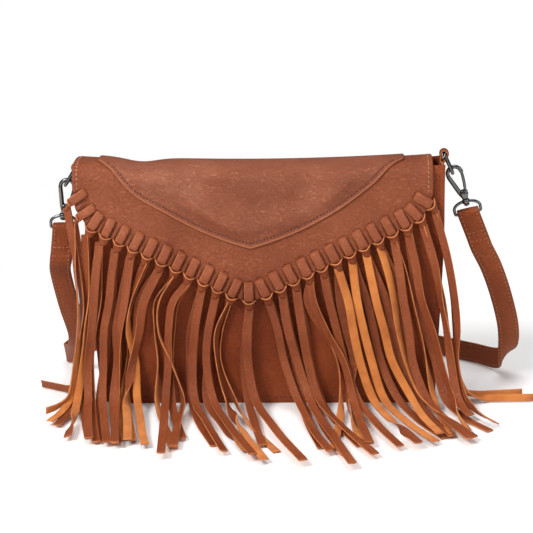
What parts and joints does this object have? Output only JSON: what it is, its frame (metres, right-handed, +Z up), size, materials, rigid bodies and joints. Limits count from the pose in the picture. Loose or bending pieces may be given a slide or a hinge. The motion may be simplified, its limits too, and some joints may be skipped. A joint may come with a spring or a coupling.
{
  "type": "shoulder bag",
  "caption": "Soft leather shoulder bag with a front flap edged with laced fringe, a clip-on strap on swivel hooks and an open main compartment.",
  "frame": {"origin": "middle of the base, on the surface that the bag stands on", "axes": "+Z up, front face towards -Y, +X along the bag's width to the viewer's right"},
  "size_m": [0.3896, 0.2908, 0.1993],
  "materials": {
    "body_leather": "satin",
    "flap_leather": "satin",
    "strip_leather": "matte",
    "strap_leather": "satin",
    "lining_cloth": "matte",
    "gunmetal": "polished",
    "snap_metal": "satin"
  },
  "bodies": {
    "bag": {"front_panel": "body_leather", "back_panel": "body_leather", "gusset": "body_leather", "lining": "lining_cloth", "snap_socket": "snap_metal", "tab_left": "strap_leather", "tab_right": "strap_leather", "strap": "strap_leather"},
    "flap": {"flap_border": "flap_leather", "flap_yoke": "flap_leather", "flap_lining": "lining_cloth", "snap_stud": "snap_metal", "lace_01": "strip_leather", "lace_02": "strip_leather", "lace_03": "strip_leather", "lace_04": "strip_leather", "lace_05": "strip_leather", "lace_06": "strip_leather", "lace_07": "strip_leather", "lace_08": "strip_leather", "lace_09": "strip_leather", "lace_10": "strip_leather", "lace_11": "strip_leather", "lace_12": "strip_leather", "lace_13": "strip_leather", "lace_14": "strip_leather", "lace_15": "strip_leather", "lace_16": "strip_leather", "lace_17": "strip_leather", "lace_18": "strip_leather", "lace_19": "strip_leather", "lace_20": "strip_leather", "lace_21": "strip_leather", "lace_22": "strip_leather", "lace_23": "strip_leather", "lace_24": "strip_leather", "lace_25": "strip_leather", "lace_26": "strip_leather", "lace_27": "strip_leather"},
    "ring_left": {"ring_left": "gunmetal"},
    "loop_left": {"loop_left": "gunmetal"},
    "hook_left": {"hook_left": "gunmetal"},
    "gate_left": {"gate_left": "gunmetal"},
    "ring_right": {"ring_right": "gunmetal"},
    "loop_right": {"loop_right": "gunmetal"},
    "hook_right": {"hook_right": "gunmetal"},
    "gate_right": {"gate_right": "gunmetal"}
  },
  "joints": [
    {"name": "flap_hinge", "type": "hinge", "parent": "bag", "child": "flap", "pos_m": [-0.0088, 0.0202, 0.1872], "axis": [-1, 0, 0], "range_deg": [0, 150]},
    {"name": "ring_left_swing", "type": "hinge", "parent": "bag", "child": "ring_left", "pos_m": [-0.149, 0, 0.1878], "axis": [0, 1, 0], "range_deg": [-7, 0.5]},
    {"name": "loop_left_swing", "type": "hinge", "parent": "bag", "child": "loop_left", "pos_m": [-0.16145, 0, 0.13893], "axis": [1, 0, 0], "range_deg": [-5, 5]},
    {"name": "hook_left_swivel", "type": "hinge", "parent": "loop_left", "child": "hook_left", "pos_m": [-0.16145, 0, 0.14853], "axis": [-0.1908, 0, -0.9816], "range_deg": [-8, 8]},
    {"name": "gate_left_pivot", "type": "hinge", "parent": "hook_left", "child": "gate_left", "pos_m": [-0.15746, 0, 0.15539], "axis": [0, -1, 0], "range_deg": [0, 14], "stiffness_Nm_per_rad": 0.004},
    {"name": "ring_right_swing", "type": "hinge", "parent": "bag", "child": "ring_right", "pos_m": [0.1406, 0, 0.1956], "axis": [0, 1, 0], "range_deg": [-5, 0.5]},
    {"name": "loop_right_swing", "type": "hinge", "parent": "bag", "child": "loop_right", "pos_m": [0.16002, 0, 0.14793], "axis": [0.9744, 0, 0.225], "range_deg": [-5, 5]},
    {"name": "hook_right_swivel", "type": "hinge", "parent": "loop_right", "child": "hook_right", "pos_m": [0.15786, 0, 0.15728], "axis": [0.3746, 0, -0.9272], "range_deg": [-8, 8]},
    {"name": "gate_right_pivot", "type": "hinge", "parent": "hook_right", "child": "gate_right", "pos_m": [0.15746, 0, 0.16521], "axis": [0, -1, 0], "range_deg": [0, 14], "stiffness_Nm_per_rad": 0.004}
  ]
}
